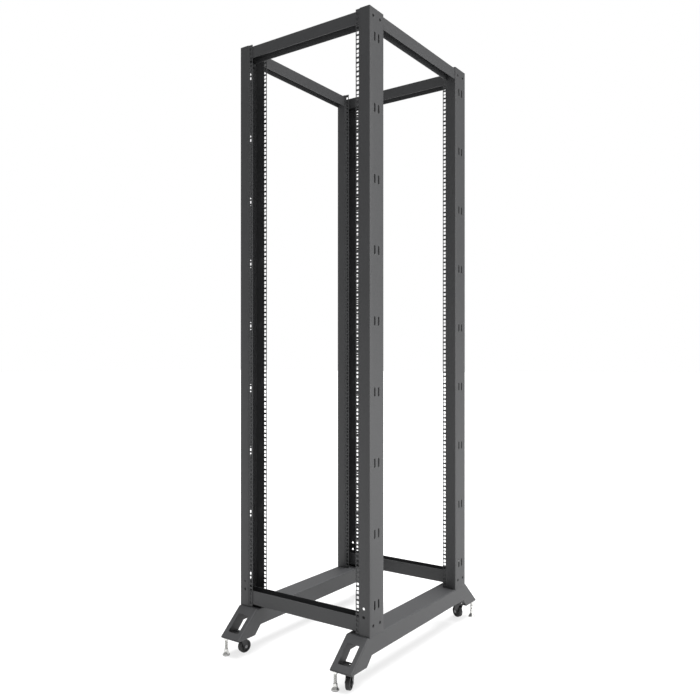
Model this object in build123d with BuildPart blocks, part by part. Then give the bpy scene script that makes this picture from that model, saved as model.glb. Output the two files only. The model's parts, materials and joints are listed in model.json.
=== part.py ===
from build123d import *
import math
import os

os.makedirs("parts", exist_ok=True)

# Four post open frame rack for 19 inch equipment.
# The origin is on the floor, under the middle of the rack.
# The front faces -Y, and +X is to the right of someone who looks at the front.
# Lengths are in millimetres and angles in degrees.

# Overall frame
frame_width = 562.0
frame_depth = 682.0
post_height = 2018.0
rail_top_height = 152.0

# Equipment rail pattern: a rack unit holds three square holes
rack_unit = 44.45
unit_count = 45
unit_hole_heights = (6.35, 22.225, 38.1)
hole_inset = 7.55
square_hole = 9.5

# Bends: every folded sheet has the same radius inside its corners
inner_bend = 1.0

# Post section: a web with two flanges turned inward, each stepped back to a hole strip
post_depth = 84.0
plain_face = 38.0
strip_setback = 3.0
strip_width = 15.0
post_sheet = 2.0

# Openings in a post's web and front face
slot_length = 30.0
slot_width = 8.0
slot_offset = 11.5
slot_pairs = 9
slot_drop = 90.0
slot_rise = 96.0
web_hole_radius = 3.5
web_hole_offset = 20.0
web_hole_drop = 26.0
web_hole_rise = 33.0
face_hole_radius = 4.5
face_hole_inset = 23.0
face_hole_rises = (61.0, 89.0)

# Cross beams and side beams
beam_sheet = 2.0
beam_depth = 45.0
top_beam_height = 42.0
top_beam_drop = 5.0
side_beam_width = 35.0
side_beam_inset = 2.5
bottom_beam_height = 50.0
bottom_beam_rise = 8.0

# Base rails with their legs
rail_width = 86.0
rail_height = 58.0
rail_sheet = 3.0
leg_reach = 106.0
leg_shoulder = 7.0
leg_heel = 17.0
leg_root = 14.0
leg_inner_bend = 1.0
window_width = 47.0
window_start = 0.22
window_end = 0.76
window_corner = 4.0

# Casters
pivot_inset = 42.5
pivot_reach = 44.0
caster_plate = 40.0
caster_plate_corner = 4.0
caster_plate_sheet = 2.5
race_radius = 15.0
race_depth = 2.2
running_gap = 0.3
kingpin_radius = 4.0
kingpin_head_radius = 6.5
kingpin_head = 2.0
pin_clearance = 0.05
fork_top_radius = 16.0
fork_sheet = 2.5
fork_bend = 2.0
fork_side_gap = 1.2
fork_tip_radius = 8.0
crown_gap = 8.5
wheel_radius = 23.0
wheel_width = 16.0
wheel_trail = 15.0
hub_radius = 8.0
hub_recess = 2.5
rim_radius = 16.5
axle_radius = 3.0
axle_head_radius = 5.0
axle_head = 2.0
caster_headings = {
    "front_right": -72.0,
    "front_left": 75.0,
    "rear_right": 160.0,
    "rear_left": 100.0,
}

# Levelling feet
leveller_inset = 73.0
leveller_reach = 85.0
stud_radius = 5.0
stud_clearance = 0.1
stud_overlap = 0.3
nut_width = 17.0
nut_height = 8.0
nut_chamfer = 0.8
foot_radius = 13.0
foot_rim = 3.0
foot_neck_radius = 6.5
foot_height = 17.0
foot_flare_radius = 24.0

# Places worked out from the sizes above
half_width = frame_width / 2
half_depth = frame_depth / 2
post_top_height = rail_top_height + post_height
flange_width = plain_face + strip_setback + strip_width
clear_opening = frame_width - 2 * flange_width
hole_column_spacing = clear_opening + 2 * hole_inset
strip_back = strip_setback + post_sheet
hole_column = half_width - hole_column_spacing / 2
strip_margin = (post_height - unit_count * rack_unit) / 2
post_bend = inner_bend + post_sheet
beam_end_depth = post_depth - 2 * strip_back
beam_length = frame_width - 2 * post_sheet
rail_bend = inner_bend + rail_sheet
rail_centre = half_width - rail_width / 2

# Heights inside a caster, from the wheel up to the leg that it carries
fork_crown = 2 * wheel_radius + crown_gap
fork_top = fork_crown + fork_sheet
race_bottom = fork_top + running_gap
plate_bottom = race_bottom + race_depth
leg_bottom_height = plate_bottom + caster_plate_sheet
leg_drop = rail_top_height - leg_bottom_height
head_top = fork_crown - running_gap
fork_half_gap = wheel_width / 2 + fork_side_gap
fork_half_width = fork_half_gap + fork_sheet


def save(part, name):
    """Label a finished piece and write it as its own STEP file."""
    part.label = name
    export_step(part, f"parts/{name}.step")


# Posts
def post_section():
    """Outline of the front right post, with its front face on d = 0 and its web on u = 0."""
    bend_shift = post_sheet * math.tan(math.radians(22.5))
    front_half = [
        (0, post_depth / 2),
        (0, 0),
        (plain_face, 0),
        (plain_face + strip_setback, strip_setback),
        (flange_width, strip_setback),
        (flange_width, strip_back),
        (plain_face + strip_setback - bend_shift, strip_back),
        (plain_face - bend_shift, post_sheet),
        (post_sheet, post_sheet),
        (post_sheet, post_depth / 2),
    ]
    return [(half_width - u, d - half_depth) for u, d in front_half]


def make_post():
    """The front right post: bent section, square holes, web slots and round holes."""
    with BuildPart() as post:
        with BuildSketch(Plane.XY.offset(rail_top_height)) as section:
            with BuildLine():
                Polyline(*post_section(), close=True)
            make_face()
            mirror(about=Plane.XZ.offset(half_depth - post_depth / 2))
            fillet(section.vertices().group_by(Axis.X)[-2], radius=inner_bend)
            fillet(section.vertices().group_by(Axis.X)[-1], radius=post_bend)
        extrude(amount=post_height)
        # Square holes of the outer hole strip
        unit_starts = [strip_margin + n * rack_unit for n in range(unit_count)]
        heights = [start + h for start in unit_starts for h in unit_hole_heights]
        with BuildSketch(Plane.XZ.offset(half_depth - strip_back)):
            with Locations(*[(half_width - hole_column, rail_top_height + z) for z in heights]):
                Rectangle(square_hole, square_hole)
        extrude(amount=strip_back, mode=Mode.SUBTRACT)
        # Round holes low in the plain face
        with BuildSketch(Plane.XZ.offset(half_depth - post_sheet)):
            with Locations(*[(half_width - face_hole_inset, rail_top_height + z) for z in face_hole_rises]):
                Circle(face_hole_radius)
        extrude(amount=post_sheet, mode=Mode.SUBTRACT)
        # Pairs of slots up the web, and round holes at the beams
        web_middle = post_depth / 2 - half_depth
        slot_pitch = (post_height - slot_drop - slot_rise) / (slot_pairs - 1)
        slot_heights = [slot_rise + n * slot_pitch for n in range(slot_pairs)]
        web_hole_heights = (web_hole_rise, post_height - web_hole_drop)
        with BuildSketch(Plane.YZ.offset(half_width - post_sheet)):
            with Locations(
                *[
                    (web_middle + side * slot_offset, rail_top_height + z)
                    for z in slot_heights
                    for side in (-1, 1)
                ]
            ):
                SlotOverall(slot_length, slot_width, rotation=90)
            with Locations(
                *[
                    (web_middle + side * web_hole_offset, rail_top_height + z)
                    for z in web_hole_heights
                    for side in (-1, 1)
                ]
            ):
                Circle(web_hole_radius)
        extrude(amount=post_sheet, mode=Mode.SUBTRACT)
    return post.part


front_right_post = make_post()
rear_right_post = front_right_post.mirror(Plane.XZ)
save(front_right_post, "post_front_right")
save(rear_right_post, "post_rear_right")
save(front_right_post.mirror(Plane.YZ), "post_front_left")
save(rear_right_post.mirror(Plane.YZ), "post_rear_left")


# Cross beams and side beams
def channel_section(middle, bottom, depth, height, opens_down):
    """Section of a bent channel, as (across, up), open at the bottom or else at the top."""
    inward = -1 if opens_down else 1
    closed_side = -1 if opens_down else 0
    inner_side = -2 if opens_down else 1
    with BuildSketch() as section:
        with Locations((middle, bottom + height / 2)):
            Rectangle(depth, height)
        fillet(section.vertices().group_by(Axis.Y)[closed_side], radius=inner_bend + beam_sheet)
        with Locations((middle, bottom + height / 2 + inward * beam_sheet)):
            Rectangle(depth - 2 * beam_sheet, height, mode=Mode.SUBTRACT)
        fillet(section.vertices().group_by(Axis.Y)[inner_side], radius=inner_bend)
    return section.sketch


def make_cross_beam(bottom, height, screw_height, side, opens_down):
    """A bent channel close behind the outer hole strips, with an end plate on each post's web."""
    post_middle = side * (half_depth - post_depth / 2)
    middle = side * (half_depth - strip_back - beam_depth / 2)
    section = channel_section(middle, bottom, beam_depth, height, opens_down)
    with BuildPart() as beam:
        with BuildSketch(Plane.YZ.offset(-beam_length / 2)):
            add(section)
        extrude(amount=beam_length)
        # End plates as deep as the room inside the post, with the two screw holes of the web
        for start in (-beam_length / 2, beam_length / 2 - beam_sheet):
            with BuildSketch(Plane.YZ.offset(start)):
                with Locations((post_middle, bottom + height / 2)):
                    Rectangle(beam_end_depth, height)
            extrude(amount=beam_sheet)
            with BuildSketch(Plane.YZ.offset(start)):
                with Locations(
                    (post_middle - web_hole_offset, screw_height),
                    (post_middle + web_hole_offset, screw_height),
                ):
                    Circle(web_hole_radius)
            extrude(amount=beam_sheet, mode=Mode.SUBTRACT)
    return beam.part


def make_side_beam(side):
    """A bent channel from the front post to the rear post, open underneath, with closed ends."""
    length = frame_depth - 2 * post_depth
    middle = side * (half_width - side_beam_inset - side_beam_width / 2)
    bottom = post_top_height - top_beam_drop - top_beam_height
    section = channel_section(middle, bottom, side_beam_width, top_beam_height, True)
    with BuildPart() as beam:
        with BuildSketch(Plane.XZ.offset(-length / 2)):
            add(section)
        extrude(amount=length)
        for start in (-length / 2, length / 2 - beam_sheet):
            with BuildSketch(Plane.XZ.offset(start)) as end_plate:
                with Locations((middle, bottom + top_beam_height / 2)):
                    Rectangle(side_beam_width, top_beam_height)
                fillet(end_plate.vertices().group_by(Axis.Y)[-1], radius=inner_bend + beam_sheet)
            extrude(amount=beam_sheet)
    return beam.part


top_beam_bottom = post_top_height - top_beam_drop - top_beam_height
top_screw_height = post_top_height - web_hole_drop
bottom_beam_bottom = rail_top_height + bottom_beam_rise
bottom_screw_height = rail_top_height + web_hole_rise
for end, side in (("front", -1), ("rear", 1)):
    top_beam = make_cross_beam(top_beam_bottom, top_beam_height, top_screw_height, side, True)
    save(top_beam, f"top_beam_{end}")
    bottom_beam = make_cross_beam(bottom_beam_bottom, bottom_beam_height, bottom_screw_height, side, False)
    save(bottom_beam, f"bottom_beam_{end}")
for end, side in (("right", 1), ("left", -1)):
    save(make_side_beam(side), f"top_beam_{end}")


# Base rails
def leg_points():
    """Front half of a base rail's side outline, as (y, z)."""
    top = rail_top_height
    return [
        (0, top),
        (-half_depth - leg_shoulder, top),
        (-half_depth - leg_reach, top - leg_drop),
        (-half_depth - leg_heel, top - leg_drop),
        (-half_depth + leg_root, top - rail_height),
        (0, top - rail_height),
    ]


def make_rail():
    """A base rail, centred on x = 0: folded sheet with a bench leg and a foot plate at each end."""
    slope = math.atan2(leg_drop, leg_reach - leg_shoulder)
    slope_length = math.hypot(leg_drop, leg_reach - leg_shoulder)
    lean = math.tan(math.pi / 2 - slope)
    # How far the sloped plate's inner face lies behind its outer face, measured along y
    plate_shift = rail_sheet / math.sin(slope)
    top_inner = -half_depth - leg_shoulder + plate_shift - rail_sheet * lean
    bottom_inner = -half_depth - leg_reach + plate_shift + rail_sheet * lean
    # The room under the top and between the side walls
    with BuildPart() as room:
        with BuildSketch(Plane.YZ.offset(-rail_width / 2 + rail_sheet)) as room_outline:
            with BuildLine():
                Polyline(
                    (top_inner, rail_top_height - rail_sheet),
                    (bottom_inner, leg_bottom_height + rail_sheet),
                    (-bottom_inner, leg_bottom_height + rail_sheet),
                    (-top_inner, rail_top_height - rail_sheet),
                    close=True,
                )
            make_face()
            fillet(room_outline.vertices(), radius=leg_inner_bend)
        extrude(amount=rail_width - 2 * rail_sheet)
        fillet(room.edges().filter_by(Axis.Y).group_by(Axis.Z)[-1], radius=inner_bend)
    with BuildPart() as rail:
        with BuildSketch(Plane.YZ.offset(-rail_width / 2)) as outline:
            with BuildLine():
                Polyline(*leg_points(), close=True)
            make_face()
            mirror(about=Plane.YZ)
            toes = outline.vertices().group_by(Axis.X)[0] + outline.vertices().group_by(Axis.X)[-1]
            shoulders = outline.vertices().group_by(Axis.Y)[-1]
            fillet(toes + shoulders, radius=leg_inner_bend + rail_sheet)
        extrude(amount=rail_width)
        fillet(rail.edges().filter_by(Axis.Y).group_by(Axis.Z)[-1], radius=rail_bend)
        add(room.part, mode=Mode.SUBTRACT)
        # The window in each sloped end plate
        window_length = (window_end - window_start) * slope_length
        window_middle = (window_start + window_end) / 2 * slope_length
        for end in (-1, 1):
            window_plane = Plane(
                origin=(
                    0,
                    end * (half_depth + leg_shoulder + window_middle * math.cos(slope)),
                    rail_top_height - window_middle * math.sin(slope),
                ),
                x_dir=(1, 0, 0),
                z_dir=(0, end * math.sin(slope), math.cos(slope)),
            )
            with BuildSketch(window_plane):
                RectangleRounded(window_width, window_length, window_corner)
            extrude(amount=-2 * rail_sheet, mode=Mode.SUBTRACT)
        # The stud hole in each foot plate
        for end in (-1, 1):
            with BuildSketch(Plane.XY.offset(leg_bottom_height)):
                with Locations(leveller_place(end)):
                    Circle(stud_radius + stud_clearance)
            extrude(amount=rail_sheet, mode=Mode.SUBTRACT)
    return rail.part


def leveller_place(end):
    """A levelling foot's place on a rail that is centred on x = 0; end is -1 at the front."""
    return (end * (leveller_inset - rail_width / 2), end * (half_depth + leveller_reach))


def pivot_place(end):
    """A caster pivot's place on a rail that is centred on x = 0; end is -1 at the front."""
    return (end * (pivot_inset - rail_width / 2), end * (half_depth + pivot_reach))


rail_shape = make_rail()
save(rail_shape.moved(Location((rail_centre, 0, 0))), "base_rail_right")
save(rail_shape.moved(Location((-rail_centre, 0, 0))), "base_rail_left")


# Casters, built on a pivot at x = 0, y = 0, trailing along +X
def make_caster_plate():
    """The fixed plate with its ball race and kingpin."""
    with BuildPart() as plate:
        with BuildSketch(Plane.XY.offset(plate_bottom)):
            RectangleRounded(caster_plate, caster_plate, caster_plate_corner)
        extrude(amount=caster_plate_sheet)
        with BuildSketch(Plane.XY.offset(race_bottom)):
            Circle(race_radius)
        extrude(amount=race_depth)
        with BuildSketch(Plane.XY.offset(head_top)):
            Circle(kingpin_radius)
        extrude(amount=race_bottom - head_top)
        with BuildSketch(Plane.XY.offset(head_top - kingpin_head)):
            Circle(kingpin_head_radius)
        extrude(amount=kingpin_head)
    return plate.part


def make_fork():
    """The swivelling fork: a round crown, and two tapered cheeks bent down to the axle."""
    cheek_front = -fork_tip_radius
    cheek_back = fork_top_radius - fork_sheet
    with BuildPart() as fork:
        with BuildSketch(Plane.XY.offset(fork_crown)):
            Circle(fork_top_radius)
            with Locations(((cheek_front + cheek_back) / 2, 0)):
                Rectangle(cheek_back - cheek_front, 2 * fork_half_width)
        extrude(amount=fork_sheet)
        for start in (-fork_half_width, fork_half_gap):
            with BuildSketch(Plane.XZ.offset(start)):
                with BuildLine():
                    Polyline(
                        (cheek_front, fork_top),
                        (cheek_back, fork_top),
                        (wheel_trail + fork_tip_radius, wheel_radius),
                        (wheel_trail - fork_tip_radius, wheel_radius),
                        close=True,
                    )
                make_face()
                with Locations((wheel_trail, wheel_radius)):
                    Circle(fork_tip_radius)
            extrude(amount=fork_sheet)
        bends = fork.edges().filter_by(Axis.X).group_by(Axis.Z)[-1]
        fillet(bends, radius=fork_bend)
        # Holes for the kingpin and the axle
        with BuildSketch(Plane.XY.offset(fork_crown)):
            Circle(kingpin_radius + pin_clearance)
        extrude(amount=fork_sheet, mode=Mode.SUBTRACT)
        with BuildSketch(Plane.XZ.offset(-fork_half_width)):
            with Locations((wheel_trail, wheel_radius)):
                Circle(axle_radius + pin_clearance)
        extrude(amount=2 * fork_half_width, mode=Mode.SUBTRACT)
    return fork.part


def make_wheel():
    """The wheel with a rounded tread, recessed sides and a hub."""
    half = wheel_width / 2
    with BuildPart() as wheel:
        with BuildSketch(Plane.XZ.offset(0)):
            with BuildLine():
                Polyline(
                    (wheel_trail + axle_radius + pin_clearance, 0),
                    (wheel_trail + axle_radius + pin_clearance, half),
                    (wheel_trail + hub_radius, half),
                    (wheel_trail + hub_radius, half - hub_recess),
                    (wheel_trail + rim_radius, half - hub_recess),
                    (wheel_trail + rim_radius, half),
                    (wheel_trail + wheel_radius - hub_recess, half),
                    (wheel_trail + wheel_radius, half - hub_recess),
                    (wheel_trail + wheel_radius, 0),
                    close=True,
                )
            make_face()
            mirror(about=Plane.XZ)
        revolve(axis=Axis((wheel_trail, 0, 0), (0, 0, 1)))
    return wheel.part


def make_axle():
    """The axle rivet with a round head on each side of the fork."""
    half = fork_half_width
    with BuildPart() as axle:
        with BuildSketch(Plane.XZ.offset(-half)):
            with Locations((wheel_trail, wheel_radius)):
                Circle(axle_radius)
        extrude(amount=2 * half)
        for start in (-half - axle_head, half):
            with BuildSketch(Plane.XZ.offset(start)):
                with Locations((wheel_trail, wheel_radius)):
                    Circle(axle_head_radius)
            extrude(amount=axle_head)
    return axle.part


# Levelling feet, built on a stud axis at x = 0, y = 0
def make_leveller():
    """A stud on a bell shaped foot, standing on the floor."""
    stud_top = leg_bottom_height + rail_sheet + stud_overlap
    with BuildPart() as leveller:
        with BuildSketch(Plane.XZ):
            with BuildLine():
                Polyline((0, 0), (foot_radius, 0), (foot_radius, foot_rim))
                RadiusArc((foot_radius, foot_rim), (foot_neck_radius, foot_height), foot_flare_radius)
                Polyline(
                    (foot_neck_radius, foot_height),
                    (stud_radius, foot_height),
                    (stud_radius, stud_top),
                    (0, stud_top),
                    (0, 0),
                )
            make_face()
        revolve(axis=Axis.Z)
    return leveller.part


def make_nut():
    """The nut under the foot plate that the stud runs in."""
    with BuildPart() as nut:
        with BuildSketch(Plane.XY.offset(leg_bottom_height - nut_height)):
            RegularPolygon(nut_width / 2, 6, major_radius=False, rotation=30)
        extrude(amount=nut_height)
        # The turned chamfer that takes off the points of the hexagon
        nut_corner = nut_width / math.sqrt(3)
        with BuildSketch(Plane.XZ):
            with BuildLine():
                Polyline(
                    (0, leg_bottom_height - nut_height),
                    (nut_corner - 2 * nut_chamfer, leg_bottom_height - nut_height),
                    (nut_corner, leg_bottom_height - nut_height + nut_chamfer),
                    (nut_corner, leg_bottom_height),
                    (0, leg_bottom_height),
                    close=True,
                )
            make_face()
        revolve(axis=Axis.Z, mode=Mode.INTERSECT)
        with BuildSketch(Plane.XY.offset(leg_bottom_height - nut_height)):
            Circle(stud_radius + stud_clearance)
        extrude(amount=nut_height, mode=Mode.SUBTRACT)
    return nut.part


plate_shape = make_caster_plate()
fork_shape = make_fork()
wheel_shape = make_wheel()
axle_shape = make_axle()
leveller_shape = make_leveller()
nut_shape = make_nut()
wheel_turn = Location((wheel_trail, 0, wheel_radius), (90, 0, 0)) * Location((-wheel_trail, 0, 0))

for corner, heading in caster_headings.items():
    end = -1 if corner.startswith("front") else 1
    side = 1 if corner.endswith("right") else -1
    pivot_x, pivot_y = pivot_place(end)
    foot_x, foot_y = leveller_place(end)
    pivot = Location((side * rail_centre + pivot_x, pivot_y, 0))
    swivel = pivot * Location((0, 0, 0), (0, 0, heading))
    foot = Location((side * rail_centre + foot_x, foot_y, 0))
    save(plate_shape.moved(pivot), f"caster_plate_{corner}")
    save(fork_shape.moved(swivel), f"caster_fork_{corner}")
    save(wheel_shape.moved(swivel * wheel_turn), f"caster_wheel_{corner}")
    save(axle_shape.moved(swivel), f"caster_axle_{corner}")
    save(leveller_shape.moved(foot), f"levelling_foot_{corner}")
    save(nut_shape.moved(foot), f"levelling_nut_{corner}")
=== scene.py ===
import json
import math

import bmesh
import bpy
from mathutils import Matrix, Vector


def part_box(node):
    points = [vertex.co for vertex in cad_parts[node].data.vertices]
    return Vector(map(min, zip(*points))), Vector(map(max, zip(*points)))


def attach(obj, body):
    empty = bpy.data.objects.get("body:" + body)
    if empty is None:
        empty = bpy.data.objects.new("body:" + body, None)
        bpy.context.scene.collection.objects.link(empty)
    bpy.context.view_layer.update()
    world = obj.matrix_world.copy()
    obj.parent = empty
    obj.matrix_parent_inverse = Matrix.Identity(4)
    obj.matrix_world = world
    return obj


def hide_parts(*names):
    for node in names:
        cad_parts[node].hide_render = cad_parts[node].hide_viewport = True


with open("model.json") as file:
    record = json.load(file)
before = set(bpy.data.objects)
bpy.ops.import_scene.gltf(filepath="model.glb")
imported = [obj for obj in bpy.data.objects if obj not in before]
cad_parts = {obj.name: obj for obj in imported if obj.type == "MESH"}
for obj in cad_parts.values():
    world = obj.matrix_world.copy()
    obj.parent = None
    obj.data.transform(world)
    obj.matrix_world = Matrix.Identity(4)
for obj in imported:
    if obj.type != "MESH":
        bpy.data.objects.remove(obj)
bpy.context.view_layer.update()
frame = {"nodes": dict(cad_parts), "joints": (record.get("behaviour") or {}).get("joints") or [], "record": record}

bl_info = {
    "name": "Four Post Open Frame Rack",
    "version": (1, 0, 0),
    "blender": (4, 5, 0),
    "location": "View3D > Sidebar > Rack",
    "description": "Dresses the packed rack with its sheet metal detail, finishes, fasteners and studio",
    "category": "Object",
}

CORNERS = ("front_right", "front_left", "rear_right", "rear_left")
ROOT_BODY = "rack"
MM = 0.001

# Sizes of the carried over solids that the frame's boxes don't give
RAIL_SHEET = 3 * MM
PLATE_SHEET = 2.5 * MM
RACE_RADIUS = 15 * MM
WHEEL_WIDTH = 16 * MM

# How a hole strip's three holes share a rack unit
HOLE_SHARES = (1 / 7, 1 / 2, 6 / 7)

# How far a cutter reaches past the sheet that it cuts
CUTTER_REACH = 5 * MM

# Softening of a fastener's and a moulding's corners
FASTENER_SOFT = 0.3 * MM
MOULDING_SOFT = 0.6 * MM

# Small sizes of the levelling feet
BELL_RIM = 1.6 * MM
BELL_EDGE = 0.9 * MM
BELL_ROUND = 0.2 * MM
HEXAGON_SEAT = 0.5 * MM
HEXAGON_HEIGHT = 5 * MM
THREAD_START = 4 * MM
PAD_LAP = 0.6 * MM
PAD_INSET = 0.3 * MM
PAD_ROUND = 0.5 * MM

# Depths under the plate, and reaches past the race, of the lip round a caster's ball race
LIP_TOP = 0.2 * MM
LIP_MIDDLE = 1 * MM
LIP_BOTTOM = 2 * MM
LIP_REACH = 1.4 * MM
LIP_BULGE = 1.8 * MM

# The camera of the photo, as fitted to it
CAMERA_PLACE = (1.561, -2.2706, 1.035)
CAMERA_HEADING = 35.1
FOCAL_LENGTH = 37.4
SENSOR_WIDTH = 36.0
HORIZON_SHIFT = 0.0157

# Directions, places and size of the lights
OVERHEAD_DIRECTION = (0.12, 0.12, 1.0)
BOX_PLACE = (1.75, 0.75, 1.15)
BOX_TARGET = (0.0, 0.1, 1.1)
BOX_SIZE = (0.9, 3.6)


# Places read from the frame
def mount_row(name):
    """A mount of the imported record."""
    mounts = {mount["name"]: mount for mount in frame["record"]["mounts"]}
    return mounts[name]


def mount_place(name):
    """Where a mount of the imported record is, in metres."""
    return Vector(mount_row(name)["pos_m"])


def joint_row(name):
    """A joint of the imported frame."""
    joints = {joint["name"]: joint for joint in frame["joints"]}
    return joints[name]


def corner_signs(corner):
    """+1 or -1 along X and along Y for a named corner."""
    return (
        1 if corner.endswith("right") else -1,
        1 if corner.startswith("rear") else -1,
    )


# Sizes and colours that a user would change
class RackSheetSizes(bpy.types.PropertyGroup):
    """Sizes of the bent sheet and its openings."""

    sheet: bpy.props.FloatProperty(
        name="Post Sheet", description="Thickness of a post's sheet",
        default=2 * MM, min=0.5 * MM, unit="LENGTH", subtype="DISTANCE")
    bend: bpy.props.FloatProperty(
        name="Inside Bend", description="Inside radius of a post's bends",
        default=1 * MM, min=0.2 * MM, unit="LENGTH", subtype="DISTANCE")
    plain_face: bpy.props.FloatProperty(
        name="Plain Face", description="Width of a post's plain face beside its hole strip",
        default=38 * MM, unit="LENGTH", subtype="DISTANCE")
    setback: bpy.props.FloatProperty(
        name="Strip Setback", description="How far a hole strip lies behind the plain face",
        default=3 * MM, unit="LENGTH", subtype="DISTANCE")
    square_hole: bpy.props.FloatProperty(
        name="Square Hole", description="Side of a square equipment hole",
        default=9.5 * MM, unit="LENGTH", subtype="DISTANCE")
    rack_unit: bpy.props.FloatProperty(
        name="Rack Unit", description="Height of one rack unit of three holes",
        default=44.45 * MM, unit="LENGTH", subtype="DISTANCE")
    units: bpy.props.IntProperty(
        name="Units", description="Rack units of holes in a post", default=45, min=1)
    slot_length: bpy.props.FloatProperty(
        name="Slot Length", description="Length of a slot in a post's web",
        default=30 * MM, unit="LENGTH", subtype="DISTANCE")
    slot_width: bpy.props.FloatProperty(
        name="Slot Width", description="Width of a slot in a post's web",
        default=8 * MM, unit="LENGTH", subtype="DISTANCE")
    slot_pairs: bpy.props.IntProperty(
        name="Slot Pairs", description="Pairs of slots up a post's web", default=9, min=2)
    slot_offset: bpy.props.FloatProperty(
        name="Slot Offset", description="From the web's middle to each slot of a pair",
        default=11.5 * MM, unit="LENGTH", subtype="DISTANCE")
    slot_rise: bpy.props.FloatProperty(
        name="Slot Rise", description="From a post's foot to the middle of its lowest slots",
        default=96 * MM, unit="LENGTH", subtype="DISTANCE")
    slot_drop: bpy.props.FloatProperty(
        name="Slot Drop", description="From a post's top to the middle of its highest slots",
        default=90 * MM, unit="LENGTH", subtype="DISTANCE")
    web_hole_radius: bpy.props.FloatProperty(
        name="Screw Hole", description="Radius of a screw hole in a post's web",
        default=3.5 * MM, unit="LENGTH", subtype="DISTANCE")
    web_hole_offset: bpy.props.FloatProperty(
        name="Screw Offset", description="From the web's middle to each screw hole of a pair",
        default=20 * MM, unit="LENGTH", subtype="DISTANCE")
    web_hole_rise: bpy.props.FloatProperty(
        name="Screw Rise", description="From a post's foot to its lower screw holes",
        default=33 * MM, unit="LENGTH", subtype="DISTANCE")
    web_hole_drop: bpy.props.FloatProperty(
        name="Screw Drop", description="From a post's top to its upper screw holes",
        default=26 * MM, unit="LENGTH", subtype="DISTANCE")
    edge_round: bpy.props.FloatProperty(
        name="Edge Rounding", description="Rounding that the coat gives to cut edges",
        default=0.35 * MM, unit="LENGTH", subtype="DISTANCE")


class RackFastenerSizes(bpy.types.PropertyGroup):
    """Sizes of the screws, rivets and weld beads."""

    head_radius: bpy.props.FloatProperty(
        name="Screw Head", description="Radius of a countersunk screw's head at its face",
        default=5.9 * MM, unit="LENGTH", subtype="DISTANCE")
    head_gap: bpy.props.FloatProperty(
        name="Head Gap", description="Gap round a countersunk head in its sheet",
        default=0.4 * MM, unit="LENGTH", subtype="DISTANCE")
    head_sink: bpy.props.FloatProperty(
        name="Head Sink", description="Depth of a screw's face below its sheet's face",
        default=0.6 * MM, unit="LENGTH", subtype="DISTANCE")
    socket_depth: bpy.props.FloatProperty(
        name="Socket Depth", description="Depth of a screw's hexagon socket",
        default=2 * MM, unit="LENGTH", subtype="DISTANCE")
    socket_width: bpy.props.FloatProperty(
        name="Socket", description="Width across the flats of a screw's hexagon socket",
        default=5 * MM, unit="LENGTH", subtype="DISTANCE")
    shank_radius: bpy.props.FloatProperty(
        name="Shank", description="Radius of a screw's shank",
        default=3 * MM, unit="LENGTH", subtype="DISTANCE")
    nut_width: bpy.props.FloatProperty(
        name="Nut", description="Width across the flats of a screw's nut",
        default=10 * MM, unit="LENGTH", subtype="DISTANCE")
    nut_height: bpy.props.FloatProperty(
        name="Nut Height", description="Height of a screw's nut",
        default=5 * MM, unit="LENGTH", subtype="DISTANCE")
    rivet_radius: bpy.props.FloatProperty(
        name="Rivet Head", description="Radius of a caster plate rivet's head",
        default=3 * MM, unit="LENGTH", subtype="DISTANCE")
    rivet_inset: bpy.props.FloatProperty(
        name="Rivet Inset", description="From a caster plate's edge to a rivet",
        default=4.5 * MM, unit="LENGTH", subtype="DISTANCE")
    bead_radius: bpy.props.FloatProperty(
        name="Weld Bead", description="Radius of a weld bead",
        default=1.6 * MM, unit="LENGTH", subtype="DISTANCE")
    bead_clear: bpy.props.FloatProperty(
        name="Bead Clearance", description="From a post's corner to the end of a weld bead",
        default=6 * MM, unit="LENGTH", subtype="DISTANCE")


class RackRunningSizes(bpy.types.PropertyGroup):
    """Sizes of the wheels and the levelling feet."""

    wheel_shoulder: bpy.props.FloatProperty(
        name="Wheel Shoulder", description="Rounding at the sides of a wheel's tread",
        default=3.2 * MM, unit="LENGTH", subtype="DISTANCE")
    rim_radius: bpy.props.FloatProperty(
        name="Rim", description="Inside radius of a wheel's rim",
        default=16.5 * MM, unit="LENGTH", subtype="DISTANCE")
    hub_radius: bpy.props.FloatProperty(
        name="Hub", description="Radius of a wheel's hub",
        default=8 * MM, unit="LENGTH", subtype="DISTANCE")
    bore_radius: bpy.props.FloatProperty(
        name="Bore", description="Radius of a wheel's bore",
        default=3.05 * MM, unit="LENGTH", subtype="DISTANCE")
    recess: bpy.props.FloatProperty(
        name="Side Recess", description="Depth of the recess in each side of a wheel",
        default=3.4 * MM, unit="LENGTH", subtype="DISTANCE")
    ribs: bpy.props.IntProperty(
        name="Ribs", description="Ribs between a wheel's hub and its rim", default=6, min=3)
    thread_pitch: bpy.props.FloatProperty(
        name="Thread Pitch", description="Pitch of a levelling foot's thread",
        default=1.5 * MM, unit="LENGTH", subtype="DISTANCE")
    thread_depth: bpy.props.FloatProperty(
        name="Thread Depth", description="Depth of a levelling foot's thread",
        default=0.85 * MM, unit="LENGTH", subtype="DISTANCE")
    stud_radius: bpy.props.FloatProperty(
        name="Stud", description="Outside radius of a levelling foot's thread",
        default=5 * MM, unit="LENGTH", subtype="DISTANCE")
    bell_height: bpy.props.FloatProperty(
        name="Bell Height", description="Height of a levelling foot's bell",
        default=16.5 * MM, unit="LENGTH", subtype="DISTANCE")
    bell_hollow: bpy.props.FloatProperty(
        name="Bell Hollow", description="How far the bell's side curves inward",
        default=2.4 * MM, unit="LENGTH", subtype="DISTANCE")
    spanner_width: bpy.props.FloatProperty(
        name="Spanner Width", description="Width of the hexagon above a levelling foot's bell",
        default=12.5 * MM, unit="LENGTH", subtype="DISTANCE")
    pad_height: bpy.props.FloatProperty(
        name="Pad Height", description="Height of the pad under a levelling foot",
        default=2 * MM, unit="LENGTH", subtype="DISTANCE")


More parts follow.
